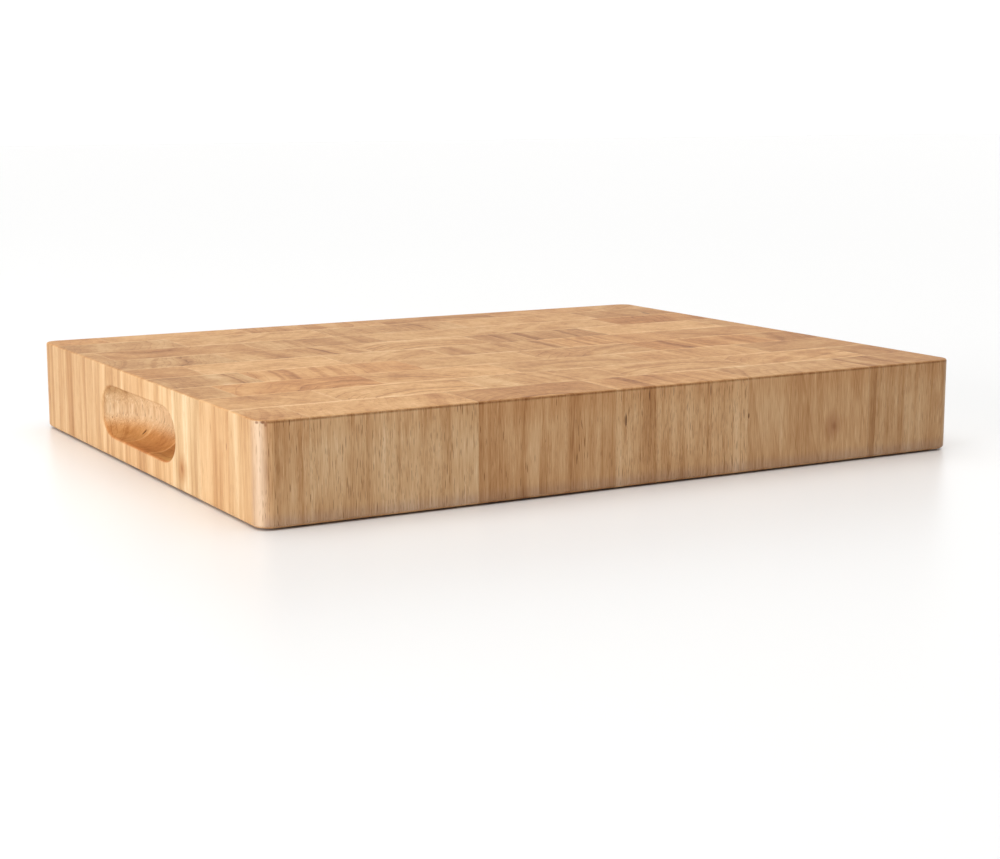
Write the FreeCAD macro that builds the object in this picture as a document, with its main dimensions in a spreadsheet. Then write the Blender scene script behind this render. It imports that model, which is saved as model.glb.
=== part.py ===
import FreeCAD, Part
import os

import Sketcher
from FreeCAD import Vector

# An end-grain cutting board: nine rows of upright hardwood blocks. The blocks of
# a row are glued end to side, the rows are glued to each other with their joints
# staggered, and the glued slab is then machined as one: round corners, a finger
# grip routed into each short side, eased edges above and below.
#
# Frame: origin at the centre of the underside, +X along the long sides, +Y from
# the front row to the back row, +Z up through the cutting surface. Millimetres.

os.makedirs("parts", exist_ok=True)

doc = FreeCAD.newDocument("end_grain_board")
sheet = doc.addObject("Spreadsheet::Sheet", "Board")

# ---------------------------------------------------------------- dimensions
DIMENSIONS = [
    ("board_length", 380.0),
    ("board_width", 300.0),
    ("board_thickness", 46.0),
    ("corner_radius", 7.5),
    ("top_edge_round", 1.0),
    ("bottom_edge_round", 1.8),
    ("glue_thickness", 0.2),
    ("grip_length", 104.7),
    ("grip_height", 25.5),
    ("grip_depth", 17.0),
    ("grip_cutter_radius", 40.0),  # the spindle cutter; it gives the ends their slope
    ("grip_floor_round", 12.0),  # the cove at the cutter's rim
    ("grip_lip_round", 1.3),
    ("grip_centre_across", 0.1),  # from the middle of the board towards the back
    ("grip_centre_height", 23.4),
    ("sawing_allowance", 2.0),  # how far a blank stands past the finished slab
]

# glue lines between the rows, from the front face
ROW_SEAMS = [32.0, 66.6, 101.2, 135.8, 170.4, 205.0, 239.6, 274.2]

# glue lines inside each row, from the left face
ROW_JOINTS = [
    [23.3, 103.8, 176.3, 250.8, 325.0],
    [53.8, 127.5, 203.8, 277.5, 351.0],
    [18.8, 92.5, 166.0, 240.0, 316.0],
    [46.0, 132.0, 200.0, 269.0, 350.0],
    [31.0, 106.0, 165.0, 235.0, 310.0],
    [61.0, 137.0, 208.0, 283.0, 362.0],
    [9.0, 90.0, 162.0, 235.0, 314.0],
    [60.0, 147.0, 232.0, 320.0],
    [30.0, 112.0, 196.0, 272.0, 348.0],
]
ROWS = len(ROW_JOINTS)

cells = list(DIMENSIONS)
for i, place in enumerate(ROW_SEAMS, 1):
    cells.append(("seam_%d" % i, place))
for i, joints in enumerate(ROW_JOINTS, 1):
    for j, place in enumerate(joints, 1):
        cells.append(("row_%d_joint_%d" % (i, j), place))
for line, (alias, value) in enumerate(cells, 1):
    sheet.set("A%d" % line, alias)
    sheet.set("B%d" % line, str(value))
    sheet.setAlias("B%d" % line, alias)
doc.recompute()


def value(alias):
    return float(sheet.get(alias))


# ---------------------------------------------------------------- the machined slab
slab = doc.addObject("PartDesign::Body", "machined_slab")
slab.Label = "machined_slab"


def plane(role, body=None):
    return next(f for f in (body or slab).Origin.OriginFeatures if f.Role == role)


def attach(sketch, role, body=None):
    sketch.AttachmentSupport = [(plane(role, body), "")]
    sketch.MapMode = "FlatFace"


# plan outline of the slab, centred on the origin
outline = slab.newObject("Sketcher::SketchObject", "slab_outline")
attach(outline, "XY_Plane")
a, b = value("board_length") / 2, value("board_width") / 2
corners = [Vector(-a, -b, 0), Vector(a, -b, 0), Vector(a, b, 0), Vector(-a, b, 0)]
for i in range(4):
    outline.addGeometry(Part.LineSegment(corners[i], corners[(i + 1) % 4]), False)
for i in range(4):
    outline.addConstraint(Sketcher.Constraint("Coincident", i, 2, (i + 1) % 4, 1))
outline.addConstraint(Sketcher.Constraint("Horizontal", 0))
outline.addConstraint(Sketcher.Constraint("Horizontal", 2))
outline.addConstraint(Sketcher.Constraint("Vertical", 1))
outline.addConstraint(Sketcher.Constraint("Vertical", 3))
k = outline.addConstraint(Sketcher.Constraint("DistanceX", 0, 1, 0, 2, 2 * a))
outline.setExpression("Constraints[%d]" % k, "Board.board_length")
k = outline.addConstraint(Sketcher.Constraint("DistanceY", 1, 1, 1, 2, 2 * b))
outline.setExpression("Constraints[%d]" % k, "Board.board_width")
outline.addConstraint(Sketcher.Constraint("Symmetric", 0, 1, 1, 2, -1, 1))

pad = slab.newObject("PartDesign::Pad", "slab_pad")
pad.Profile = outline
pad.setExpression("Length", "Board.board_thickness")
doc.recompute()


def edge_names(shape, wanted):
    return ["Edge%d" % i for i, e in enumerate(shape.Edges, 1) if wanted(e.BoundBox)]


def fillet(name, base, names, alias, body=None):
    feature = (body or slab).newObject("PartDesign::Fillet", name)
    feature.Base = (base, names)
    feature.setExpression("Radius", "Board." + alias)
    doc.recompute()
    return feature


thick = value("board_thickness")
rounded = fillet(
    "rounded_corners",
    pad,
    edge_names(pad.Shape, lambda q: q.ZLength > thick - 0.01 and q.XLength < 0.01 and q.YLength < 0.01),
    "corner_radius",
)


def grip_cutter(name, side):
    """The space a cove cutter on an upright spindle sweeps as it runs along one short side."""
    cutter = doc.addObject("PartDesign::Body", name)
    cutter.Label = name
    sketch = cutter.newObject("Sketcher::SketchObject", name + "_path")
    attach(sketch, "XY_Plane", cutter)
    sketch.setExpression("AttachmentOffset.Base.z", "Board.grip_centre_height - Board.grip_height / 2")
    r, deep = value("grip_cutter_radius"), value("grip_depth")
    x = value("board_length") / 2 + r - deep
    y = value("grip_centre_across")
    half = value("grip_length") / 2 - (r * r - (r - deep) ** 2) ** 0.5
    cx = side * x
    up = Vector(0, 0, 1)
    # 0 right run, 1 far end, 2 left run, 3 near end
    sketch.addGeometry(Part.LineSegment(Vector(cx + r, y - half, 0), Vector(cx + r, y + half, 0)), False)
    sketch.addGeometry(Part.ArcOfCircle(Part.Circle(Vector(cx, y + half, 0), up, r), 0.0, 3.1415926536), False)
    sketch.addGeometry(Part.LineSegment(Vector(cx - r, y + half, 0), Vector(cx - r, y - half, 0)), False)
    sketch.addGeometry(
        Part.ArcOfCircle(Part.Circle(Vector(cx, y - half, 0), up, r), 3.1415926536, 6.2831853072), False
    )
    sketch.addConstraint(Sketcher.Constraint("Tangent", 0, 2, 1, 1))
    sketch.addConstraint(Sketcher.Constraint("Tangent", 1, 2, 2, 1))
    sketch.addConstraint(Sketcher.Constraint("Tangent", 2, 2, 3, 1))
    sketch.addConstraint(Sketcher.Constraint("Tangent", 3, 2, 0, 1))
    sketch.addConstraint(Sketcher.Constraint("Vertical", 0))
    c = sketch.addConstraint(Sketcher.Constraint("Radius", 1, r))
    sketch.setExpression("Constraints[%d]" % c, "Board.grip_cutter_radius")
    run = (
        "(Board.grip_length / 2 - sqrt(Board.grip_cutter_radius ^ 2 - "
        "(Board.grip_cutter_radius - Board.grip_depth) ^ 2))"
    )
    c = sketch.addConstraint(Sketcher.Constraint("DistanceY", 3, 3, 1, 3, 2 * half))
    sketch.setExpression("Constraints[%d]" % c, "2 * " + run)
    c = sketch.addConstraint(Sketcher.Constraint("DistanceY", -1, 1, 1, 3, y + half))
    sketch.setExpression("Constraints[%d]" % c, "Board.grip_centre_across + " + run)
    ends = (1, 3, -1, 1) if side < 0 else (-1, 1, 1, 3)
    c = sketch.addConstraint(Sketcher.Constraint("DistanceX", *ends, x))
    sketch.setExpression(
        "Constraints[%d]" % c, "Board.board_length / 2 + Board.grip_cutter_radius - Board.grip_depth"
    )
    disc = cutter.newObject("PartDesign::Pad", name + "_sweep")
    disc.Profile = sketch
    disc.setExpression("Length", "Board.grip_height")
    doc.recompute()
    cove = fillet(
        name + "_cove",
        disc,
        edge_names(disc.Shape, lambda q: q.ZLength < 0.01),
        "grip_floor_round",
        cutter,
    )
    cutter.Tip = cove
    doc.recompute()
    return cutter


cutters = [grip_cutter("left_grip_cutter", -1), grip_cutter("right_grip_cutter", 1)]
before = rounded.Shape.copy()
wanted = sum(before.common(c.Shape).Volume for c in cutters)
grips = slab.newObject("PartDesign::Boolean", "finger_grips")
grips.Type = "Cut"
grips.setObjects(cutters)
doc.recompute()
removed = before.Volume - grips.Shape.Volume
if wanted < 1000 or abs(removed - wanted) > 0.005 * wanted:
    raise RuntimeError("the grips removed %.1f mm3, not %.1f" % (removed, wanted))

face = value("board_length") / 2
lips = fillet(
    "grip_lips",
    grips,
    edge_names(
        grips.Shape,
        lambda q: q.XLength < 0.01
        and abs(abs(q.Center.x) - face) < 0.01
        and q.ZMin > 1.0
        and q.ZMax < thick - 1.0,
    ),
    "grip_lip_round",
)
upper = fillet(
    "top_arris",
    lips,
    edge_names(lips.Shape, lambda q: q.ZLength < 0.01 and abs(q.ZMax - thick) < 0.01),
    "top_edge_round",
)
lower = fillet(
    "bottom_arris",
    upper,
    edge_names(upper.Shape, lambda q: q.ZLength < 0.01 and abs(q.ZMin) < 0.01),
    "bottom_edge_round",
)
slab.Tip = lower
doc.recompute()

# ---------------------------------------------------------------- block blanks
# A blank is bounded by half a glue film on each glued side. On a side that ends
# up on the outside of the board it stands proud by the sawing allowance, and the
# machined slab trims it.
LEFT, RIGHT = "(-1 * Board.board_length / 2)", "(Board.board_length / 2)"
FRONT, BACK = "(-1 * Board.board_width / 2)", "(Board.board_width / 2)"
HALF_GLUE = "Board.glue_thickness / 2"
ALLOWANCE = "Board.sawing_allowance"


def box(name, x, y, z):
    """A box whose three spans, each a pair of expressions, are bound to the sheet."""
    solid = doc.addObject("Part::Box", name)
    solid.Label = name
    for size, axis, (low, high) in (("Length", "x", x), ("Width", "y", y), ("Height", "z", z)):
        solid.setExpression(size, "(%s) - (%s)" % (high, low))
        solid.setExpression("Placement.Base." + axis, low)
    return solid


def trimmed(name, blank):
    piece = doc.addObject("Part::Common", name)
    piece.Label = name
    piece.Base = blank
    piece.Tool = slab
    return piece


def row_span(row):
    """Front and back of a row, rows counted from 1 at the front."""
    if row == 1:
        low = "%s - %s" % (FRONT, ALLOWANCE)
    else:
        low = "%s + Board.seam_%d + %s" % (FRONT, row - 1, HALF_GLUE)
    if row == ROWS:
        high = "%s + %s" % (BACK, ALLOWANCE)
    else:
        high = "%s + Board.seam_%d - %s" % (FRONT, row, HALF_GLUE)
    return low, high


pieces = []
for row, joints in enumerate(ROW_JOINTS, 1):
    across = row_span(row)
    last = len(joints) + 1
    for n in range(1, last + 1):
        name = "row_%d_block_%d" % (row, n)
        outside = row in (1, ROWS) or n in (1, last)
        if n == 1:
            low = "%s - %s" % (LEFT, ALLOWANCE)
        else:
            low = "%s + Board.row_%d_joint_%d + %s" % (LEFT, row, n - 1, HALF_GLUE)
        if n == last:
            high = "%s + %s" % (RIGHT, ALLOWANCE)
        else:
            high = "%s + Board.row_%d_joint_%d - %s" % (LEFT, row, n, HALF_GLUE)
        if outside:
            tall = ("-1 * " + ALLOWANCE, "Board.board_thickness + " + ALLOWANCE)
            pieces.append((name, trimmed(name, box(name + "_blank", (low, high), across, tall))))
        else:
            pieces.append((name, box(name, (low, high), across, ("0", "Board.board_thickness"))))

# ---------------------------------------------------------------- glue films
tall = ("-1 * " + ALLOWANCE, "Board.board_thickness + " + ALLOWANCE)
long_films = []
for i in range(1, ROWS):
    long_films.append(
        box(
            "row_film_%d" % i,
            ("%s - %s" % (LEFT, ALLOWANCE), "%s + %s" % (RIGHT, ALLOWANCE)),
            (
                "%s + Board.seam_%d - %s" % (FRONT, i, HALF_GLUE),
                "%s + Board.seam_%d + %s" % (FRONT, i, HALF_GLUE),
            ),
            tall,
        )
    )
cross_films = []
for row, joints in enumerate(ROW_JOINTS, 1):
    for n in range(1, len(joints) + 1):
        cross_films.append(
            box(
                "block_film_%d_%d" % (row, n),
                (
                    "%s + Board.row_%d_joint_%d - %s" % (LEFT, row, n, HALF_GLUE),
                    "%s + Board.row_%d_joint_%d + %s" % (LEFT, row, n, HALF_GLUE),
                ),
                row_span(row),
                tall,
            )
        )
for name, films in (("glue_between_rows", long_films), ("glue_between_blocks", cross_films)):
    group = doc.addObject("Part::Compound", name + "_blank")
    group.Links = films
    pieces.append((name, trimmed(name, group)))

doc.recompute()

# ---------------------------------------------------------------- checks and export
bad = [o.Label for o in doc.Objects if "Invalid" in o.State or "Error" in o.State]
if bad:
    raise RuntimeError("failed features: " + ", ".join(bad))
total = 0.0
for name, piece in pieces:
    shape = piece.Shape
    if shape.isNull() or not shape.isValid() or not shape.Solids:
        raise RuntimeError("bad shape: " + name)
    if name.startswith("row_") and len(shape.Solids) != 1:
        raise RuntimeError("%s is %d solids" % (name, len(shape.Solids)))
    total += shape.Volume
whole = slab.Shape
if abs(total - whole.Volume) > 1e-4 * whole.Volume:
    raise RuntimeError("pieces hold %.1f mm3, the slab %.1f" % (total, whole.Volume))

for name, piece in pieces:
    piece.Shape.exportStep("parts/%s.step" % name)

q = whole.BoundBox
print("slab %.2f x %.2f x %.2f mm" % (q.XLength, q.YLength, q.ZLength))
print("%d nodes, %.1f cm3 of wood and glue" % (len(pieces), total / 1000))
for name, piece in pieces:
    if name.startswith("glue"):
        print(name, len(piece.Shape.Solids), "films")
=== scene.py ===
import bpy
import bmesh
import math
import random
from mathutils import Matrix, Vector


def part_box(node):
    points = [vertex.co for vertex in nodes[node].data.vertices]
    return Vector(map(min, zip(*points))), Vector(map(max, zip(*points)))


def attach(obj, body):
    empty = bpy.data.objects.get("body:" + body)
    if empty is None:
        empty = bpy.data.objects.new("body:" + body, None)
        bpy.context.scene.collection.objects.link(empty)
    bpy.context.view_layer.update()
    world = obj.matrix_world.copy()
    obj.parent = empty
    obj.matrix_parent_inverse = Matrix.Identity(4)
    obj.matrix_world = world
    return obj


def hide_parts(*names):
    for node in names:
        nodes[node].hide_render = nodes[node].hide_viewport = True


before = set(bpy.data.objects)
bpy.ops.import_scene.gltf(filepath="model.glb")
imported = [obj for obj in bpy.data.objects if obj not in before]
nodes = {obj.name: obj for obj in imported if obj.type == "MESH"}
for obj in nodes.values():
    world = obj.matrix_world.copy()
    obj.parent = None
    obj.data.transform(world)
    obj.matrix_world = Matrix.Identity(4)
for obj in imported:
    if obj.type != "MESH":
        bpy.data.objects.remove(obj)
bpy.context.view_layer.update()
scene = bpy.context.scene

# The board lies with its front row towards -Y. Material code works in millimetres
# in the row frame, so a point on the wood is its object coordinate times 1000.
HALF_L, HALF_W, THICK = 190.0, 150.0, 46.0


# ------------------------------------------------------------------ node helpers
class Tree:
    """A short hand for building node trees."""

    def __init__(self, tree):
        self.t = tree

    def node(self, kind, **settings):
        n = self.t.nodes.new(kind)
        for k, v in settings.items():
            setattr(n, k, v)
        return n

    def put(self, value, socket):
        if hasattr(value, "is_output") or isinstance(value, bpy.types.NodeSocket):
            self.t.links.new(value, socket)
        else:
            socket.default_value = value

    def maths(self, op, a, b=None, c=None, clamp=False):
        n = self.node("ShaderNodeMath", operation=op, use_clamp=clamp)
        self.put(a, n.inputs[0])
        if b is not None:
            self.put(b, n.inputs[1])
        if c is not None:
            self.put(c, n.inputs[2])
        return n.outputs[0]

    def vec(self, op, a, b=None, scale=None):
        n = self.node("ShaderNodeVectorMath", operation=op)
        self.put(a, n.inputs[0])
        if b is not None:
            self.put(b, n.inputs[1])
        if scale is not None:
            self.put(scale, n.inputs["Scale"])
        return n.outputs["Value"] if op in ("LENGTH", "DISTANCE", "DOT_PRODUCT") else n.outputs[0]

    def split(self, v):
        n = self.node("ShaderNodeSeparateXYZ")
        self.put(v, n.inputs[0])
        return n.outputs

    def join(self, x, y, z):
        n = self.node("ShaderNodeCombineXYZ")
        for value, socket in zip((x, y, z), n.inputs):
            self.put(value, socket)
        return n.outputs[0]

    def noise(self, vector=None, scale=1.0, detail=2.0, rough=0.5, lac=2.0, distort=0.0, dims="3D", w=None, colour=False):
        n = self.node("ShaderNodeTexNoise", noise_dimensions=dims)
        if vector is not None:
            self.put(vector, n.inputs["Vector"])
        if w is not None:
            self.put(w, n.inputs["W"])
        n.inputs["Scale"].default_value = scale
        n.inputs["Detail"].default_value = detail
        n.inputs["Roughness"].default_value = rough
        n.inputs["Lacunarity"].default_value = lac
        n.inputs["Distortion"].default_value = distort
        return n.outputs["Color" if colour else "Fac"]

    def remap(self, value, a, b, c=0.0, d=1.0, kind="LINEAR", clamp=True):
        n = self.node("ShaderNodeMapRange", interpolation_type=kind, clamp=clamp)
        for x, i in ((value, 0), (a, 1), (b, 2), (c, 3), (d, 4)):
            self.put(x, n.inputs[i])
        return n.outputs[0]

    def mix(self, fac, a, b, blend="MIX"):
        n = self.node("ShaderNodeMix", data_type="RGBA", blend_type=blend, clamp_factor=True)
        self.put(fac, n.inputs[0])
        self.put(a, n.inputs[6])
        self.put(b, n.inputs[7])
        return n.outputs[2]

    def ramp(self, fac, stops, mode="LINEAR"):
        n = self.node("ShaderNodeValToRGB")
        n.color_ramp.interpolation = mode
        e = n.color_ramp.elements
        while len(e) > 1:
            e.remove(e[-1])
        e[0].position, e[0].color = stops[0][0], stops[0][1]
        for place, colour in stops[1:]:
            x = e.new(place)
            x.color = colour
        self.put(fac, n.inputs[0])
        return n.outputs[0]

    def group(self, tree, **values):
        n = self.node("ShaderNodeGroup")
        n.node_tree = tree
        for k, v in values.items():
            self.put(v, n.inputs[k.replace("_", " ")])
        return n


def new_group(name, inputs, outputs):
    tree = bpy.data.node_groups.new(name, "ShaderNodeTree")
    for kind, label, value in inputs:
        s = tree.interface.new_socket(label, in_out="INPUT", socket_type=kind)
        if value is not None:
            s.default_value = value
    for kind, label in outputs:
        tree.interface.new_socket(label, in_out="OUTPUT", socket_type=kind)
    t = Tree(tree)
    i, o = t.node("NodeGroupInput"), t.node("NodeGroupOutput")
    return tree, t, i.outputs, o.inputs


F, V, C = "NodeSocketFloat", "NodeSocketVector", "NodeSocketColor"


# ------------------------------------------------------------------ the wood
def grain_group():
    """Where a point lies in its own tree: the distance from the pith, and the fine structure that runs up the trunk."""
    tree, t, i, o = new_group(
        "upright_grain",
        [
            (V, "Point", None),
            (F, "Pith X", 0.0),
            (F, "Pith Y", 0.0),
            (F, "Lean X", 0.0),
            (F, "Lean Y", 0.0),
            (F, "Wobble", 1.0),
            (F, "Seed", 0.0),
        ],
        [(F, "Radius"), (F, "Fibre"), (F, "Figure"), (F, "Pore"), (F, "Cloud"), (F, "Height mm")],
    )
    mm = t.vec("SCALE", i["Point"], scale=1000.0)
    seed = t.join(t.maths("MULTIPLY", i["Seed"], 37.3), t.maths("MULTIPLY", i["Seed"], 61.7), t.maths("MULTIPLY", i["Seed"], 11.9))
    here = t.vec("ADD", mm, seed)
    # slow bends of the rings, then a small unevenness, both drawn out along the trunk
    slow = t.noise(t.vec("MULTIPLY", here, (0.050, 0.050, 0.007)), detail=1.5, colour=True)
    slow = t.vec("SCALE", t.vec("SUBTRACT", slow, (0.5, 0.5, 0.5)), scale=t.maths("MULTIPLY", i["Wobble"], 9.0))
    quick = t.noise(t.vec("MULTIPLY", here, (0.24, 0.24, 0.022)), detail=2.0, colour=True)
    quick = t.vec("SCALE", t.vec("SUBTRACT", quick, (0.5, 0.5, 0.5)), scale=t.maths("MULTIPLY", i["Wobble"], 1.7))
    x, y, z = t.split(mm)
    px = t.maths("MULTIPLY_ADD", i["Lean X"], z, i["Pith X"])
    py = t.maths("MULTIPLY_ADD", i["Lean Y"], z, i["Pith Y"])
    arm = t.join(t.maths("SUBTRACT", x, px), t.maths("SUBTRACT", y, py), 0.0)
    arm = t.vec("MULTIPLY", t.vec("ADD", t.vec("ADD", arm, slow), quick), (1.0, 1.0, 0.0))
    t.put(t.vec("LENGTH", arm), o["Radius"])
    # fibres: hair-thin and long
    t.put(t.noise(t.vec("MULTIPLY", here, (2.1, 2.1, 0.045)), detail=2.0, rough=0.6), o["Fibre"])
    # wider bands of lighter and darker fibre
    t.put(t.noise(t.vec("MULTIPLY", here, (0.36, 0.36, 0.010)), detail=2.5, rough=0.55), o["Figure"])
    # vessels: round in the end grain, long dashes in the side grain
    bent = t.vec("ADD", here, t.vec("SCALE", quick, scale=0.5))
    pores = 0.0
    for scale, low, spread, first, most in (
        ((1.50, 1.50, 0.110), 0.21, 0.15, 0.30, 1.0),
        ((2.60, 2.60, 0.210), 0.22, 0.14, 0.25, 0.60),
    ):
        v = t.node("ShaderNodeTexVoronoi", voronoi_dimensions="3D", feature="F1")
        t.put(t.vec("MULTIPLY", bent, scale), v.inputs["Vector"])
        v.inputs["Scale"].default_value = 1.0
        v.inputs["Randomness"].default_value = 1.0
        size = t.split(v.outputs["Color"])
        wide = t.maths("MULTIPLY_ADD", size[0], spread, low)
        hole = t.remap(v.outputs["Distance"], wide, t.maths("MULTIPLY", wide, 0.55), 0.0, 1.0, "SMOOTHSTEP")
        hole = t.maths("MULTIPLY", hole, t.remap(size[1], first, 1.0, 0.0, most))
        pores = t.maths("MAXIMUM", hole, pores)
    t.put(pores, o["Pore"])
    t.put(t.noise(t.vec("MULTIPLY", here, (0.055, 0.055, 0.018)), detail=2.0), o["Cloud"])
    t.put(z, o["Height mm"])
    return tree


def finish_group():
    """Colour, roughness and relief of sanded, oiled rubberwood from the structure above."""
    tree, t, i, o = new_group(
        "oiled_rubberwood",
        [
            (V, "Point", None),
            (F, "Profile", 0.5),
            (F, "Radius", 0.0),
            (F, "Ring step", 4.0),
            (F, "Ring depth", 0.5),
            (F, "Fibre", 0.5),
            (F, "Figure", 0.5),
            (F, "Pore", 0.0),
            (F, "Cloud", 0.5),
            (F, "Tone", 1.0),
            (F, "Warm", 1.0),
            (F, "Side tone", 1.0),
            (F, "Side warm", 1.0),
            (F, "Pore depth", 1.0),
            (F, "Seed", 0.0),
            (F, "Low X", -9999.0),
            (F, "High X", 9999.0),
            (F, "Low Y", -9999.0),
            (F, "High Y", 9999.0),
        ],
        [(C, "Color"), (F, "Roughness"), (F, "Height")],
    )
    mm = t.vec("SCALE", i["Point"], scale=1000.0)
    x, y, z = t.split(mm)
    normal = t.node("ShaderNodeNewGeometry").outputs["True Normal"]
    end = t.remap(t.maths("ABSOLUTE", t.split(normal)[2]), 0.35, 0.9, 0.0, 1.0, "SMOOTHSTEP")
    side = t.maths("SUBTRACT", 1.0, end)
    # growth rings: each darkens slowly outwards and ends on a thin darker line
    at = t.maths("DIVIDE", i["Radius"], i["Ring step"])
    drift = t.noise(dims="1D", w=t.maths("MULTIPLY_ADD", at, 0.31, t.maths("MULTIPLY", i["Seed"], 3.7)), detail=1.0)
    turn = t.maths("FRACT", t.maths("MULTIPLY_ADD", drift, 2.6, at))
    late = t.maths("POWER", turn, 3.0)
    line = t.remap(turn, 0.86, 0.98, 0.0, 1.0, "SMOOTHSTEP")
    line = t.maths("MULTIPLY", line, t.remap(turn, 1.0, 0.985, 0.0, 1.0))
    strength = t.remap(t.noise(dims="1D", w=t.maths("MULTIPLY_ADD", at, 0.17, t.maths("MULTIPLY", i["Seed"], 9.1)), detail=0.0), 0.3, 0.7, 0.35, 1.0)
    rings = t.maths("MULTIPLY_ADD", line, 0.75, t.maths("MULTIPLY", late, 0.55))
    rings = t.maths("MULTIPLY", t.maths("MULTIPLY", rings, strength), i["Ring depth"])
    short_side = t.maths("MULTIPLY", side, t.remap(t.maths("ABSOLUTE", x), 187.5, 189.6))
    # everything that lightens or darkens, summed about 0.5
    level = t.maths("MULTIPLY_ADD", t.maths("SUBTRACT", i["Profile"], 0.5), t.maths("MULTIPLY_ADD", side, -0.15, 1.0), 0.5)
    level = t.maths("MULTIPLY_ADD", rings, t.maths("MULTIPLY_ADD", side, 0.02, -0.20), level)
    fibre = t.maths("SUBTRACT", i["Fibre"], 0.5)
    level = t.maths("MULTIPLY_ADD", fibre, t.maths("MULTIPLY_ADD", side, 0.10, 0.16), level)
    hair = t.noise(t.vec("MULTIPLY", mm, (2.9, 2.9, 0.10)), detail=1.5, rough=0.65)
    level = t.maths("MULTIPLY_ADD", t.maths("SUBTRACT", hair, 0.5), t.maths("MULTIPLY_ADD", short_side, -0.30, t.maths("MULTIPLY_ADD", side, 0.60, 0.16)), level)
    figure = t.maths("SUBTRACT", i["Figure"], 0.5)
    figured = t.maths("MULTIPLY_ADD", short_side, 0.02, t.maths("MULTIPLY_ADD", side, 0.06, 0.40))
    bands = t.noise(t.vec("MULTIPLY", mm, (0.13, 0.13, 0.006)), detail=1.5, rough=0.6)
    level = t.maths("MULTIPLY_ADD", t.maths("MULTIPLY", t.maths("SUBTRACT", bands, 0.47), short_side), 0.95, level)
    level = t.maths("MULTIPLY_ADD", figure, figured, level)
    level = t.maths("MULTIPLY_ADD", t.maths("SUBTRACT", i["Cloud"], 0.5), 0.46, level)
    level = t.maths("MULTIPLY_ADD", t.maths("SUBTRACT", level, 0.5), t.maths("MULTIPLY_ADD", end, 0.32, 1.0), 0.5)
    # the wood is paler for a millimetre or so beside a glue line
    rough_edge = t.noise(t.vec("MULTIPLY", mm, (0.5, 0.5, 0.12)), detail=1.0)
    along = t.maths("MINIMUM", t.maths("SUBTRACT", x, i["Low X"]), t.maths("SUBTRACT", i["High X"], x))
    across = t.maths("MINIMUM", t.maths("SUBTRACT", y, i["Low Y"]), t.maths("SUBTRACT", i["High Y"], y))
    along = t.remap(t.maths("MULTIPLY_ADD", rough_edge, -1.1, along), 0.7, -0.4, 0.0, 0.45, "SMOOTHSTEP")
    across = t.remap(t.maths("MULTIPLY_ADD", rough_edge, -1.3, across), 1.4, -0.4, 0.0, 1.0, "SMOOTHSTEP")
    fade = t.noise(t.vec("MULTIPLY", mm, (0.022, 0.022, 0.0)), detail=0.0)
    edge = t.maths("MULTIPLY", t.maths("MAXIMUM", along, across), t.remap(fade, 0.35, 0.65, 0.25, 1.0))
    level = t.maths("MULTIPLY_ADD", edge, t.maths("MULTIPLY_ADD", end, 0.23, 0.10), level)
    level = t.maths("MAXIMUM", t.maths("MINIMUM", level, 1.0), 0.0)
    wood = t.ramp(
        level,
        [
            (0.00, (0.250, 0.105, 0.036, 1)),
            (0.20, (0.405, 0.198, 0.078, 1)),
            (0.38, (0.520, 0.285, 0.128, 1)),
            (0.52, (0.605, 0.362, 0.180, 1)),
            (0.68, (0.690, 0.452, 0.250, 1)),
            (0.85, (0.765, 0.545, 0.335, 1)),
            (1.00, (0.820, 0.625, 0.420, 1)),
        ],
    )
    # end grain drinks more oil and turns deeper
    wood = t.mix(t.maths("MULTIPLY", end, 1.0), wood, t.mix(1.0, wood, (0.985, 0.905, 0.765, 1), "MULTIPLY"))
    # painted light: the inside of both hand grips is painted paler and less orange than the wood, standing in for light
    # reaching into the recess
    grip_painted_light = t.maths("MULTIPLY", t.remap(t.maths("ABSOLUTE", x), 189.2, 188.0), t.remap(t.maths("ABSOLUTE", x), 168.0, 171.0))
    grip_painted_light = t.maths("MULTIPLY", grip_painted_light, t.maths("MULTIPLY", t.remap(z, 7.0, 9.5), t.remap(z, 39.5, 37.0)))
    grip_painted_light = t.maths("MULTIPLY", grip_painted_light, t.remap(t.maths("ABSOLUTE", y), 56.0, 53.0))
    wood = t.mix(grip_painted_light, wood, t.mix(1.0, wood, (1.03, 1.17, 1.33, 1), "MULTIPLY"))
    # painted highlight: the near end of each grip is painted paler still
    grip_end_painted_highlight = t.maths("MULTIPLY", grip_painted_light, t.remap(y, -22.0, -40.0, 0.0, 1.0, "SMOOTHSTEP"))
    wood = t.mix(grip_end_painted_highlight, wood, t.mix(1.0, wood, (1.20, 1.46, 1.62, 1), "MULTIPLY"))
    # the up-facing floor of the grips is painted deeper orange: partly end grain the cutter left unsanded, partly
    # painted shade of the recess
    grip_floor_oil_and_shade = t.maths("MULTIPLY", t.remap(z, 6.0, 9.0), t.remap(z, 41.0, 38.0))
    grip_floor_oil_and_shade = t.maths("MULTIPLY", grip_floor_oil_and_shade, t.remap(t.split(normal)[2], 0.10, 0.80, 0.0, 1.0, "SMOOTHSTEP"))
    wood = t.mix(grip_floor_oil_and_shade, wood, t.mix(1.0, wood, (0.93, 0.68, 0.44, 1), "MULTIPLY"))
    # painted shade: the short ends are tinted a little darker and less blue, to sit with how the key light falls on
    # them
    wood = t.mix(short_side, wood, t.mix(1.0, wood, (0.965, 0.985, 0.960, 1), "MULTIPLY"))
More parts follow.
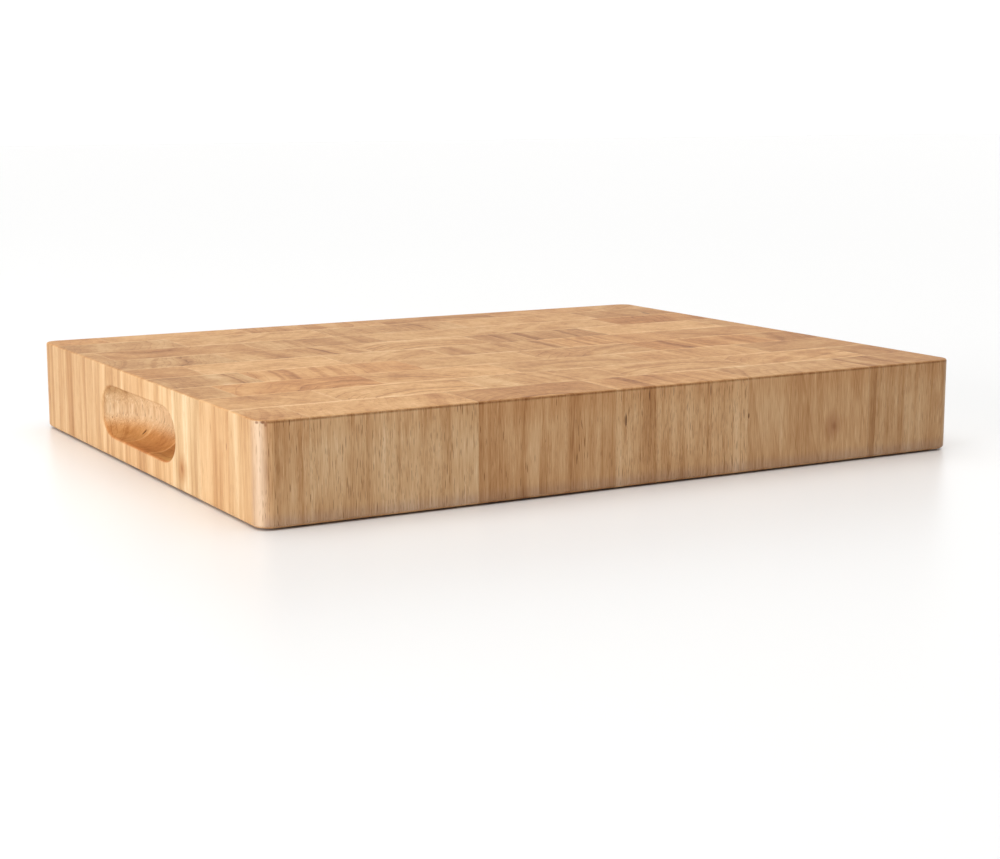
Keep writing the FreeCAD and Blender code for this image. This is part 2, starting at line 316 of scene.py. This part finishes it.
    # painted highlight: the upright rounded corners are painted pale where the lamp's gloss would catch them
    corner_painted_highlight = t.maths("MULTIPLY", t.remap(t.maths("ABSOLUTE", x), 184.0, 189.2, 0.0, 1.0, "SMOOTHSTEP"), t.remap(t.maths("ABSOLUTE", y), 139.5, 148.4, 0.0, 1.0, "SMOOTHSTEP"))
    corner_painted_highlight = t.maths("MULTIPLY", corner_painted_highlight, t.maths("MULTIPLY", side, t.remap(rough_edge, 0.3, 0.7, 0.44, 0.54)))
    wood = t.mix(corner_painted_highlight, wood, (0.88, 0.73, 0.58, 1))
    # fibres broken out along the top arris of the long sides; below it the long sides darken towards the top, and
    # painted shade lies along their foot where they meet the floor
    long_side = t.maths("MULTIPLY", side, t.remap(t.maths("ABSOLUTE", y), 148.0, 149.3))
    ragged_noise = t.noise(t.vec("MULTIPLY", mm, (0.45, 0.45, 0.3)), detail=2.0)
    arris = t.maths("MULTIPLY", t.remap(z, 44.3, 45.2, 0.0, 1.0, "SMOOTHSTEP"), t.remap(ragged_noise, 0.3, 0.7, 0.45, 1.0))
    wood = t.mix(t.maths("MULTIPLY", long_side, arris), wood, t.mix(1.0, wood, (0.46, 0.34, 0.23, 1), "MULTIPLY"))
    wood = t.mix(t.maths("MULTIPLY", long_side, t.remap(z, 30.0, 43.0, 0.0, 1.0, "SMOOTHSTEP")), wood, t.mix(1.0, wood, (0.95, 0.89, 0.83, 1), "MULTIPLY"))
    # painted shade: the foot of the long sides is darkened and greyed near the floor
    foot_painted_shade = t.maths("MULTIPLY", t.remap(z, 8.0, 1.5, 0.0, 1.0, "SMOOTHSTEP"), t.remap(ragged_noise, 0.3, 0.7, 0.7, 1.0))
    wood = t.mix(t.maths("MULTIPLY", long_side, foot_painted_shade), wood, t.mix(1.0, wood, (0.80, 0.82, 1.00, 1), "MULTIPLY"))
    # reddish or yellowish cast of the block
    warm_end = t.maths("MULTIPLY_ADD", t.maths("SUBTRACT", i["Warm"], 1.0), 1.35, 1.01)
    warm = t.maths("ADD", t.maths("MULTIPLY", warm_end, end), t.maths("MULTIPLY", i["Side warm"], side))
    more = t.maths("SUBTRACT", warm, 1.0)
    cast = t.node("ShaderNodeCombineColor")
    t.put(t.maths("MULTIPLY_ADD", more, 0.30, 1.0), cast.inputs[0])
    t.put(t.maths("MULTIPLY_ADD", more, -0.25, 1.0), cast.inputs[1])
    t.put(t.maths("MULTIPLY_ADD", more, -0.85, 1.0), cast.inputs[2])
    wood = t.mix(1.0, wood, cast.outputs[0], "MULTIPLY")
    tone_end = t.maths("MULTIPLY_ADD", t.maths("SUBTRACT", i["Tone"], 0.99), 1.30, 0.935)
    shade = t.maths("ADD", t.maths("MULTIPLY", tone_end, end), t.maths("MULTIPLY", i["Side tone"], t.maths("MULTIPLY", side, 1.03)))
    grey = t.node("ShaderNodeCombineColor")
    for s in grey.inputs[:3]:
        t.put(shade, s)
    wood = t.mix(1.0, wood, grey.outputs[0], "MULTIPLY")
    # open vessels are dark, most of all in the side grain
    dark = t.maths("MULTIPLY", t.maths("MULTIPLY", i["Pore"], i["Pore depth"]), t.maths("MULTIPLY_ADD", side, 0.90, 0.14))
    inner = t.maths("MULTIPLY", t.remap(t.maths("ABSOLUTE", x), 188.6, 187.0), t.maths("MULTIPLY", side, t.remap(t.maths("ABSOLUTE", x), 168.0, 171.0)))
    inner = t.maths("MULTIPLY", inner, t.maths("MULTIPLY", t.remap(z, 9.0, 12.0), t.remap(z, 38.0, 35.0)))
    inner = t.maths("MULTIPLY", inner, t.remap(t.maths("ABSOLUTE", y), 62.0, 58.0))
    dark = t.maths("MULTIPLY", dark, t.maths("MULTIPLY_ADD", inner, 0.05, 1.0))
    dark = t.maths("MULTIPLY", dark, t.maths("MULTIPLY_ADD", short_side, -0.62, 1.0))
    wood = t.mix(dark, wood, (0.20, 0.085, 0.030, 1))
    t.put(wood, o["Color"])
    rough = t.maths("MULTIPLY_ADD", fibre, 0.22, 0.50)
    rough = t.maths("MULTIPLY_ADD", end, 0.07, rough)
    rough = t.maths("MULTIPLY_ADD", i["Pore"], 0.20, rough)
    t.put(t.maths("MINIMUM", rough, 0.95), o["Roughness"])
    # relief in tenths of a millimetre: vessels are sunk, late wood stands proud, sanding leaves hairlines
    sand = t.noise(t.vec("MULTIPLY", mm, (0.9, 7.0, 7.0)), detail=1.0)
    relief = t.maths("MULTIPLY", i["Pore"], -0.9)
    relief = t.maths("MULTIPLY_ADD", fibre, 0.45, relief)
    relief = t.maths("MULTIPLY_ADD", rings, 0.35, relief)
    relief = t.maths("MULTIPLY_ADD", t.maths("SUBTRACT", sand, 0.5), 0.22, relief)
    relief = t.maths("MULTIPLY_ADD", edge, -0.25, relief)
    t.put(relief, o["Height"])
    return tree


def spot_group():
    """1 at the middle of a soft oval blot, 0 outside it."""
    tree, t, i, o = new_group(
        "oval_spot",
        [(V, "Point", None), (V, "Centre", (0, 0, 0)), (V, "Reach", (1, 1, 1)), (F, "Soft", 0.6), (F, "Ragged", 0.3)],
        [(F, "Spot")],
    )
    mm = t.vec("SCALE", i["Point"], scale=1000.0)
    off = t.vec("DIVIDE", t.vec("SUBTRACT", mm, i["Centre"]), i["Reach"])
    n = t.noise(t.vec("MULTIPLY", mm, (0.8, 0.8, 0.25)), detail=2.0)
    d = t.maths("ADD", t.vec("LENGTH", off), t.maths("MULTIPLY", t.maths("SUBTRACT", n, 0.5), i["Ragged"]))
    t.put(t.remap(d, 1.0, t.maths("SUBTRACT", 1.0, i["Soft"]), 0.0, 1.0, "SMOOTHSTEP"), o["Spot"])
    return tree


GRAIN, FINISH, SPOT = grain_group(), finish_group(), spot_group()

# One entry per block: tone, warmth, pith (x, y) from the board's front left
# corner, ring step, ring depth, wobble, and what stands out in its ring profile.
# A feature is (distance from the pith, half width, change of level).
B = {
    (1, 1): dict(side=(0.93, 1.03), tone=1.000, warm=1.03, pith=(-90, 40), step=3.2, depth=0.6, marks=[(92, 3.0, 0.09), (103.5, 2.6, -0.07), (109, 1.4, -0.05)]),
    (1, 2): dict(side=(1.07, 0.89), tone=1.075, warm=0.98, pith=(230, -30), step=2.6, depth=0.45, marks=[(196, 9, 0.05), (166, 7, -0.03), (147, 4, -0.08), (134, 5, 0.06)]),
    (1, 3): dict(side=(0.92, 1.06), tone=0.919, warm=1.07, pith=(141, -24), step=4.6, depth=0.9, wobble=0.6, marks=[(27, 2.4, -0.20), (34, 1.4, 0.05), (39, 1.6, -0.10)]),
    (1, 4): dict(side=(0.99, 0.99), tone=0.960, warm=1.06, pith=(-130, 10), step=5.2, depth=0.9, wobble=0.45, marks=[(308, 2.5, 0.13), (326, 4.5, -0.22), (336, 2, 0.05), (343, 3.0, -0.18), (349, 2.0, 0.08), (358.5, 1.0, -0.2), (374, 5, 0.1)]),
    (1, 5): dict(side=(0.96, 1.00), tone=0.995, warm=0.97, pith=(150, 60), step=8.0, depth=0.45, wobble=1.2, lean=(-0.24, 0.0), pores=0.38, marks=[(122, 1.5, -0.10), (131, 4, 0.04), (176, 3, -0.08)]),
    (1, 6): dict(side=(0.87, 1.03), tone=0.850, warm=1.08, pores=0.6, pith=(560, 30), step=5.5, depth=0.55, wobble=0.5, marks=[(234, 2.2, -0.16), (228, 2.2, 0.12), (222, 3, -0.04), (216, 2.5, -0.14), (209.5, 1.2, 0.14), (198, 2, -0.07)]),
    (2, 1): dict(side=(0.94, 1.07), tone=1.081, warm=0.97, pith=(110, 105), step=4.5, depth=0.55, marks=[(96, 4, -0.05)]),
    (2, 2): dict(tone=1.122, warm=0.94, pith=(101, 8), step=5.4, depth=0.9, wobble=0.7, marks=[(30, 2.2, -0.10), (40, 2.0, -0.07), (48, 3, 0.06)]),
    (2, 3): dict(tone=1.014, warm=0.98, pith=(470, 75), step=3.6, depth=0.8, wobble=0.8, marks=[(308, 2.5, -0.12), (297, 3, -0.12), (330, 6, 0.07)]),
    (2, 4): dict(tone=1.014, warm=0.99, pith=(238, 2), step=6.2, depth=0.95, wobble=0.6, marks=[(38, 1.5, -0.12), (49, 2.0, -0.10), (57, 2.5, -0.06)]),
    (2, 5): dict(tone=1.054, warm=0.97, pith=(357, -22), step=7.0, depth=0.7, wobble=0.8, marks=[(72, 2.0, -0.09), (84, 2.5, -0.07)]),
    (2, 6): dict(side=(0.98, 1.03), tone=0.832, warm=1.11, pith=(210, 20), step=4.0, depth=0.6, marks=[(160, 4, -0.06)]),
    (3, 1): dict(side=(1.13, 0.82), tone=0.960, warm=1.00, pith=(-90, 100), step=4.2, depth=0.5, marks=[(96, 3, -0.05)]),
    (3, 2): dict(tone=0.960, warm=1.14, pith=(77, 58), step=6.4, depth=1.0, wobble=1.1, marks=[(16, 4.5, -0.16), (27, 3.5, -0.12), (38, 3, 0.04), (53, 5, 0.10)]),
    (3, 3): dict(tone=1.068, warm=0.98, pith=(64, 22), step=5.8, depth=0.85, wobble=0.8, marks=[(78, 2.0, -0.12), (86, 1.6, -0.10), (108, 8, 0.08)]),
    (3, 4): dict(tone=1.014, warm=0.97, pith=(200, -30), step=12, depth=0.35, wobble=1.4, marks=[(118, 5, -0.07)]),
    (3, 5): dict(tone=1.000, warm=1.02, pith=(-60, 90), step=8, depth=0.5, wobble=0.7, marks=[(328, 3, 0.10), (342, 6, -0.06), (360, 3, 0.10)]),
    (3, 6): dict(side=(1.05, 0.97), tone=0.869, warm=1.09, pith=(290, 250), step=9, depth=0.4, wobble=1.2),
    (4, 1): dict(side=(1.05, 0.98), tone=0.973, warm=0.97, pith=(-150, 128), step=6, depth=0.5, wobble=0.6, marks=[(160, 12, -0.14), (181, 4, 0.08), (188, 1.0, -0.22), (194, 3, 0.13)]),
    (4, 2): dict(tone=1.000, warm=1.08, pith=(-280, 180), step=6.5, depth=0.9, wobble=0.5, marks=[(338, 3.5, 0.10), (345, 1.6, -0.20), (352, 1.4, -0.26), (366, 2.4, -0.16), (374, 1.6, -0.14), (391, 2, -0.10), (402, 6, 0.05)]),
    (4, 3): dict(tone=1.054, warm=0.95, pith=(120, 20), step=7.0, depth=0.45, wobble=1.2),
    (4, 4): dict(tone=1.000, warm=0.99, pith=(302, 24), step=5.4, depth=0.9, wobble=0.8, marks=[(100, 2.0, -0.10), (112, 5, -0.07)]),
    (4, 5): dict(tone=0.906, warm=1.15, pith=(620, 120), step=6.2, depth=0.95, wobble=0.5, marks=[(340, 2.5, -0.12), (330, 3.2, -0.26), (320, 2.5, 0.16), (308, 5.5, -0.14), (297, 2.2, 0.12), (289, 2, -0.12), (279, 4, -0.06)]),
    (4, 6): dict(side=(0.94, 1.06), tone=0.832, warm=1.14, pith=(240, 160), step=4.4, depth=0.8, marks=[(126, 3, -0.10)]),
    (5, 1): dict(side=(1.01, 1.03), tone=0.946, warm=1.06, pith=(-80, 70), step=5.5, depth=0.5, wobble=0.9, marks=[(112, 8, -0.07)]),
    (5, 2): dict(tone=1.122, warm=0.94, pith=(60, 360), step=9, depth=0.25, wobble=1.2),
    (5, 3): dict(tone=1.040, warm=0.97, pith=(190, 92), step=6.2, depth=0.5, wobble=0.8, marks=[(86, 3, -0.08)]),
    (5, 4): dict(tone=0.973, warm=1.00, pith=(-90, 160), step=5.6, depth=0.95, wobble=0.5, marks=[(268, 4.5, -0.16), (276, 1.8, 0.10), (284, 2.2, -0.14), (294, 5, 0.06), (321, 2.0, -0.20)]),
    (5, 5): dict(tone=0.973, warm=1.07, pith=(560, 140), step=5.6, depth=0.8, wobble=0.6, marks=[(318, 3, 0.07), (308, 2.4, -0.15), (300, 2.6, -0.12), (292, 2, 0.10), (276, 8, -0.08)]),
    (5, 6): dict(side=(1.00, 1.02), tone=0.902, warm=1.10, pith=(430, 270), step=9, depth=0.5, wobble=1.2, marks=[(130, 3, -0.06)]),
    (6, 1): dict(side=(1.04, 0.98), tone=0.973, warm=0.96, pith=(-90, 230), step=3.6, depth=0.85, wobble=0.9, marks=[(106, 1.6, -0.12), (122, 1.6, -0.13), (138, 2, -0.12)]),
    (6, 2): dict(tone=1.014, warm=0.98, pith=(-200, 150), step=6.8, depth=0.9, wobble=0.5, marks=[(270, 4, 0.08), (290, 6, -0.12), (306, 1.6, -0.06), (319, 1.5, -0.26), (324, 2, 0.10), (332, 4, -0.14)]),
    (6, 3): dict(tone=1.027, warm=0.98, pith=(174, 146), step=6.4, depth=1.0, wobble=0.7, marks=[(31, 2.2, -0.17), (40, 2.4, -0.18), (49, 1.8, -0.10), (58, 3, 0.05)]),
    (6, 4): dict(tone=0.919, warm=1.03, pith=(-240, 240), step=5.8, depth=1.0, wobble=0.5, marks=[(466, 3.5, -0.20), (474, 1.8, 0.05), (482, 4.0, -0.24), (495, 4, -0.12), (508, 3, -0.12)]),
    (6, 5): dict(tone=1.095, warm=0.95, pith=(330, 400), step=9, depth=0.25, wobble=1.3),
    (6, 6): dict(side=(1.06, 0.95), tone=0.940, warm=1.02, pith=(250, 150), step=6, depth=0.5),
    (7, 1): dict(side=(0.91, 1.05), tone=1.000, warm=0.98, pith=(-60, 200), step=5, depth=0.4),
    (7, 2): dict(tone=0.919, warm=1.07, pith=(36, 250), step=8.0, depth=0.7, wobble=1.5, marks=[(20, 7, -0.12), (40, 5, -0.05)]),
    (7, 3): dict(tone=0.960, warm=1.00, pith=(-200, 240), step=5.2, depth=0.7, wobble=0.5, marks=[(320, 2, 0.12), (335, 7, -0.13), (353, 3, -0.1)]),
    (7, 4): dict(tone=1.014, warm=0.98, pith=(196, 262), step=7.5, depth=0.6, wobble=0.8, marks=[(36, 3, -0.06)]),
    (7, 5): dict(tone=1.040, warm=0.97, pith=(160, 360), step=8.5, depth=0.45, wobble=1.1),
    (7, 6): dict(side=(0.93, 1.10), tone=0.826, warm=1.22, pith=(480, 180), step=6.0, depth=0.8, wobble=0.9, marks=[(130, 4, -0.10), (116, 3, 0.05), (108, 3, -0.10)]),
    (8, 1): dict(side=(0.84, 1.12), tone=0.960, warm=0.99, pith=(-110, 300), step=4.4, depth=0.6, marks=[(126, 9, -0.12)]),
    (8, 2): dict(tone=1.068, warm=0.95, pith=(20, 360), step=7.4, depth=0.5, wobble=1.0, marks=[(136, 3, -0.07)]),
    (8, 3): dict(tone=0.960, warm=1.00, pith=(-120, 270), step=4.6, depth=0.9, wobble=0.9, marks=[(330, 2.2, -0.12), (344, 2, 0.07)]),
    (8, 4): dict(tone=1.027, warm=0.99, pith=(520, 230), step=9, depth=0.5, wobble=0.9, marks=[(240, 6, -0.07), (276, 8, 0.05)]),
    (8, 5): dict(side=(1.00, 1.00), tone=0.902, warm=1.06, pith=(520, 300), step=6.0, depth=0.7, wobble=0.7, marks=[(180, 3, -0.07)]),
    (9, 1): dict(side=(0.86, 1.10), tone=1.000, warm=1.08, pith=(-80, 320), step=5, depth=0.5),
    (9, 2): dict(side=(1.04, 0.98), tone=1.054, warm=0.99, pith=(70, 380), step=8, depth=0.5, wobble=1.1),
    (9, 3): dict(side=(0.96, 1.05), tone=0.960, warm=1.05, pith=(-150, 330), step=5, depth=0.8, marks=[(306, 8, -0.12), (326, 6, -0.10)]),
    (9, 4): dict(side=(0.94, 1.06), tone=0.906, warm=1.07, pith=(240, 200), step=6, depth=0.7, marks=[(88, 6, -0.10)]),
    (9, 5): dict(side=(1.00, 1.02), tone=0.973, warm=1.04, pith=(480, 330), step=7, depth=0.6),
    (9, 6): dict(side=(1.03, 0.96), tone=0.965, warm=1.00, pith=(300, 380), step=7, depth=0.5),
}

# Small local features on single blocks: centre in mm from the front left bottom
# corner, reach, softness, colour and strength.
SPOTS = {
    (1, 1): [((2.8, 1.6, 45.2), (1.5, 1.3, 0.95), 0.7, (0.20, 0.075, 0.028, 1), 0.90, -2.0),
             ((3.9, 0.9, 44.2), (1.0, 0.9, 1.2), 0.8, (0.26, 0.10, 0.040, 1), 0.70, -1.5),
             ((1.1, 3.6, 45.0), (1.1, 1.3, 0.85), 0.7, (0.22, 0.085, 0.034, 1), 0.80, -2.0)],
    (1, 4): [((181.4, 0, 31.0), (0.48, 1.2, 3.6), 0.45, (0.08, 0.028, 0.010, 1), 0.95, -4.0),
             ((194.3, 0, 42.0), (0.40, 1.0, 3.6), 0.6, (0.13, 0.045, 0.015, 1), 0.9, -2.5),
             ((229.0, 0, 41.5), (0.38, 1.0, 3.8), 0.6, (0.13, 0.045, 0.015, 1), 0.85, -2.5)],
    (1, 5): [((303.0, 0, 18.5), (7.0, 9.0, 10.0), 1.0, (0.36, 0.155, 0.065, 1), 0.70, 0.0),
             ((304.0, 0, 18.0), (2.2, 3.0, 3.0), 1.0, (0.26, 0.10, 0.040, 1), 0.50, 0.0),
             ((251.5, 0, 27.4), (0.50, 1.0, 1.7), 0.5, (0.13, 0.045, 0.015, 1), 0.90, -2.0)],
    (2, 1): [((0, 35.0, 30.0), (1.2, 0.60, 2.2), 0.6, (0.30, 0.12, 0.045, 1), 0.80, -2.0)],
    (3, 1): [((0, 89.5, 11.0), (9.0, 8.5, 9.5), 1.0, (0.42, 0.19, 0.060, 1), 0.85, 0.0),
             ((0, 90.0, 11.0), (3.0, 2.0, 3.2), 0.9, (0.30, 0.12, 0.040, 1), 0.80, 0.0)],
    (6, 1): [((12.7, 175.2, 13.5), (2.0, 0.85, 2.6), 0.6, (0.11, 0.035, 0.010, 1), 1.0, -3.0)],
    (8, 5): [((361.0, 249.5, 46.0), (2.0, 5.5, 1.5), 0.6, (0.15, 0.06, 0.025, 1), 0.90, -3.0),
             ((364.4, 259.0, 46.0), (1.4, 6.0, 1.5), 0.6, (0.24, 0.10, 0.040, 1), 0.65, -2.0)],
}


def profile_stops(entry, span, seed):
    """The block's ring profile as up to 32 stops: irregular light and dark zones, with its marked features on top."""
    rng = random.Random(1000 + seed)
    low, high = span
    count = 14
    places, levels = [], []
    for k in range(count):
        places.append(low + (high - low) * (k + rng.uniform(0.15, 0.85)) / count)
        levels.append(0.5 + rng.uniform(-0.055, 0.055) * (0.5 + entry.get("depth", 0.5)))
    stops = [(low, 0.5)] + list(zip(places, levels)) + [(high, 0.5)]

    def at(r):
        for (a, u), (b, v) in zip(stops, stops[1:]):
            if a <= r <= b:
                return u + (v - u) * (r - a) / max(b - a, 1e-6)
        return 0.5

    for r, half, change in entry.get("marks", []):
        if r - half <= low + 0.5 or r + half >= high - 0.5:
            continue
        left, right, mid = at(r - half), at(r + half), at(r) + change
        stops = [s for s in stops if not r - half <= s[0] <= r + half]
        stops += [(r - half, left), (r - 0.35 * half, mid), (r + 0.35 * half, mid), (r + half, right)]
        stops.sort()
    while len(stops) > 32:
        gaps = sorted(range(1, len(stops) - 1), key=lambda k: abs(stops[k][1] - 0.5) + 0.01 * (stops[k + 1][0] - stops[k - 1][0]))
        stops.pop(gaps[0])
    return [((r - low) / (high - low), (v, v, v, 1)) for r, v in stops]


def block_material(row, n, name):
    entry = B[(row, n)]
    seed = row * 10 + n
    lo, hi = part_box(name)
    x0, x1, y0, y1 = lo.x * 1000, hi.x * 1000, lo.y * 1000, hi.y * 1000
    px, py = entry["pith"][0] - HALF_L, entry["pith"][1] - HALF_W
    lean = entry.get("lean", (0.02 * math.sin(seed * 1.7), 0.02 * math.cos(seed * 2.3)))
    far = max(math.hypot(x - px, y - py) for x in (x0, x1) for y in (y0, y1)) + 6
    cx, cy = min(max(px, x0), x1), min(max(py, y0), y1)
    near = max(math.hypot(cx - px, cy - py) - 6, 0.0)
    mat = bpy.data.materials.new("rubberwood_r%d_b%d" % (row, n))
    mat.use_nodes = True
    t = Tree(mat.node_tree)
    shader = mat.node_tree.nodes["Principled BSDF"]
    point = t.node("ShaderNodeTexCoord").outputs["Object"]
    g = t.group(
        GRAIN, Point=point, Pith_X=px, Pith_Y=py, Lean_X=lean[0], Lean_Y=lean[1],
        Wobble=entry.get("wobble", 1.0), Seed=float(seed),
    )
    radius = g.outputs["Radius"]
    profile = t.ramp(t.remap(radius, near, far), profile_stops(entry, (near, far), seed))
    edge = 0.02
    f = t.group(
        FINISH, Point=point, Profile=profile, Radius=radius,
        Ring_step=float(entry.get("step", 5)), Ring_depth=float(entry.get("depth", 0.5)),
        Fibre=g.outputs["Fibre"], Figure=g.outputs["Figure"], Pore=g.outputs["Pore"], Cloud=g.outputs["Cloud"],
        Tone=entry["tone"], Warm=entry["warm"],
        Side_tone=entry.get("side", (1.0, 1.0))[0], Side_warm=entry.get("side", (1.0, 1.0))[1], Pore_depth=entry.get("pores", 1.0), Seed=float(seed),
        Low_X=x0 if x0 > -HALF_L + edge else -9999.0,
        High_X=x1 if x1 < HALF_L - edge else 9999.0,
        Low_Y=y0 if y0 > -HALF_W + edge else -9999.0,
        High_Y=y1 if y1 < HALF_W - edge else 9999.0,
    )
    colour, height = f.outputs["Color"], f.outputs["Height"]
    for centre, reach, soft, tint, much, sunk in SPOTS.get((row, n), []):
        s = t.group(SPOT, Point=point, Centre=(centre[0] - HALF_L, centre[1] - HALF_W, centre[2]), Reach=reach, Soft=soft)
        spot = t.maths("MULTIPLY", s.outputs["Spot"], much)
        colour = t.mix(spot, colour, tint)
        if sunk:
            height = t.maths("MULTIPLY_ADD", s.outputs["Spot"], sunk, height)
    bump = t.node("ShaderNodeBump")
    bump.inputs["Strength"].default_value = 0.6
    bump.inputs["Distance"].default_value = 0.00008
    t.put(height, bump.inputs["Height"])
    t.put(colour, shader.inputs["Base Color"])
    t.put(f.outputs["Roughness"], shader.inputs["Roughness"])
    t.put(bump.outputs[0], shader.inputs["Normal"])
    shader.inputs["IOR"].default_value = 1.45
    shader.inputs["Specular IOR Level"].default_value = 0.22
    shader.inputs["Subsurface Weight"].default_value = 0.0
    return mat


def paint(obj, mat):
    obj.data.materials.clear()
    obj.data.materials.append(mat)
    for s in obj.material_slots:
        s.link = "OBJECT"
        s.material = mat


for (row, n) in B:
    name = "row_%d_block_%d" % (row, n)
    paint(nodes[name], block_material(row, n, name))


# ------------------------------------------------------------------ the glue lines
def glue_material():
    mat = bpy.data.materials.new("cured_wood_glue")
    mat.use_nodes = True
    t = Tree(mat.node_tree)
    shader = mat.node_tree.nodes["Principled BSDF"]
    point = t.node("ShaderNodeTexCoord").outputs["Object"]
    mm = t.vec("SCALE", point, scale=1000.0)
    n = t.noise(t.vec("MULTIPLY", mm, (0.35, 0.35, 0.2)), detail=3.0)
    fine = t.noise(t.vec("MULTIPLY", mm, (3.0, 3.0, 1.0)), detail=1.0)
    level = t.maths("MULTIPLY_ADD", t.maths("SUBTRACT", fine, 0.5), 0.4, n)
    colour = t.ramp(level, [(0.25, (0.42, 0.24, 0.110, 1)), (0.5, (0.58, 0.37, 0.19, 1)), (0.75, (0.69, 0.48, 0.28, 1))])
    t.put(colour, shader.inputs["Base Color"])
    t.put(t.remap(n, 0.2, 0.8, 0.38, 0.6), shader.inputs["Roughness"])
    bump = t.node("ShaderNodeBump")
    bump.inputs["Strength"].default_value = 0.5
    bump.inputs["Distance"].default_value = 0.00005
    t.put(level, bump.inputs["Height"])
    t.put(bump.outputs[0], shader.inputs["Normal"])
    shader.inputs["IOR"].default_value = 1.46
    shader.inputs["Specular IOR Level"].default_value = 0.3
    return mat


GLUE = glue_material()


def films(name, names, low, high):
    """The glue films of these CAD nodes inside a box in plan, as one piece."""
    bm = bmesh.new()
    for source in names:
        bm.from_mesh(nodes[source].data)
    bmesh.ops.remove_doubles(bm, verts=bm.verts[:], dist=1e-7)
    for co, no in (
        ((low[0], 0, 0), (-1, 0, 0)),
        ((high[0], 0, 0), (1, 0, 0)),
        ((0, low[1], 0), (0, -1, 0)),
        ((0, high[1], 0), (0, 1, 0)),
    ):
        geom = bm.verts[:] + bm.edges[:] + bm.faces[:]
        cut = bmesh.ops.bisect_plane(bm, geom=geom, dist=1e-7, plane_co=co, plane_no=no, clear_outer=True)
        edges = [e for e in cut["geom_cut"] if isinstance(e, bmesh.types.BMEdge)]
        if edges:
            bmesh.ops.holes_fill(bm, edges=[e for e in edges if e.is_boundary], sides=0)
    bmesh.ops.recalc_face_normals(bm, faces=bm.faces[:])
    mesh = bpy.data.meshes.new(name)
    bm.to_mesh(mesh)
    bm.free()
    piece = bpy.data.objects.new(name, mesh)
    scene.collection.objects.link(piece)
    mesh.materials.append(GLUE)
    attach(piece, "root")
    return piece


far_off = 1.0
for name, low, high in (
    ("glue_front_left", (-far_off, -far_off), (0.0, 0.0)),
    ("glue_front_right", (0.0, -far_off), (far_off, 0.0)),
    ("glue_back_left", (-far_off, 0.0), (0.0, far_off)),
    ("glue_back_right", (0.0, 0.0), (far_off, far_off)),
):
    piece = films(name, ("glue_between_rows", "glue_between_blocks"), low, high)
    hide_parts("glue_between_rows", "glue_between_blocks")

# ------------------------------------------------------------------ floor
mesh = bpy.data.meshes.new("floor")
bm = bmesh.new()
bmesh.ops.create_grid(bm, x_segments=1, y_segments=1, size=6.0)
bm.to_mesh(mesh)
bm.free()
floor = bpy.data.objects.new("floor", mesh)
scene.collection.objects.link(floor)
floor.location = (0, 0, -0.0008)
mat = bpy.data.materials.new("pale_floor")
mat.use_nodes = True
t = Tree(mat.node_tree)
shader = mat.node_tree.nodes["Principled BSDF"]
shader.inputs["Base Color"].default_value = (0.868, 0.876, 0.884, 1)
shader.inputs["Roughness"].default_value = 0.34
shader.inputs["Specular IOR Level"].default_value = 0.45
mesh.materials.append(mat)


# ------------------------------------------------------------------ light
def area(name, place, aim, size, power, colour=(1, 1, 1)):
    light = bpy.data.lights.new(name, "AREA")
    light.shape = "RECTANGLE"
    light.size, light.size_y = size
    light.energy = power
    light.color = colour
    obj = bpy.data.objects.new(name, light)
    scene.collection.objects.link(obj)
    obj.location = place
    obj.rotation_euler = (Vector(aim) - Vector(place)).to_track_quat("-Z", "Y").to_euler()
    return obj


area("key", (-1.9, -0.24, 0.36), (0, 0, 0.02), (1.5, 0.62), 27.5, (1.0, 0.995, 0.985))

# The room: a bright ceiling and dim walls give the light; seen directly, or
# mirrored in a gloss, it is plain white.
world = bpy.data.worlds.new("studio")
scene.world = world
world.use_nodes = True
wt = Tree(world.node_tree)
for n in list(world.node_tree.nodes):
    world.node_tree.nodes.remove(n)
out = wt.node("ShaderNodeOutputWorld")
seen, felt = wt.node("ShaderNodeBackground"), wt.node("ShaderNodeBackground")
seen.inputs["Color"].default_value = (1, 1, 1, 1)
seen.inputs["Strength"].default_value = 1.22
high = wt.split(wt.node("ShaderNodeTexCoord").outputs["Generated"])[2]
ceiling = wt.remap(high, 0.55, 0.90, 0.06, 2.02, "SMOOTHSTEP")
felt.inputs["Color"].default_value = (1.0, 0.985, 0.965, 1)
wt.put(ceiling, felt.inputs["Strength"])
path = wt.node("ShaderNodeLightPath")
direct = wt.maths("MAXIMUM", path.outputs["Is Camera Ray"], path.outputs["Is Glossy Ray"])
both = wt.node("ShaderNodeMixShader")
wt.put(direct, both.inputs[0])
wt.put(felt.outputs[0], both.inputs[1])
wt.put(seen.outputs[0], both.inputs[2])
wt.put(both.outputs[0], out.inputs[0])

# ------------------------------------------------------------------ camera
cam = bpy.data.cameras.new("camera")
camera = bpy.data.objects.new("camera", cam)
scene.collection.objects.link(camera)
right = Vector((0.86728769, -0.49780719, -0.00022093))
up = Vector((0.08603577, 0.14945576, 0.98501818))
back = Vector((-0.49031611, -0.85431316, 0.17245036))
camera.matrix_world = Matrix((
    (right.x, up.x, back.x, -0.48913123),
    (right.y, up.y, back.y, -0.87117897),
    (right.z, up.z, back.z, 0.17829601),
    (0, 0, 0, 1),
))
cam.sensor_width = 36.0
cam.lens = 68.899
cam.clip_start = 0.01
cam.clip_end = 50.0
scene.camera = camera

scene.view_settings.view_transform = "Standard"
scene.view_settings.look = "None"
scene.view_settings.exposure = 0.0
scene.view_settings.gamma = 1.0
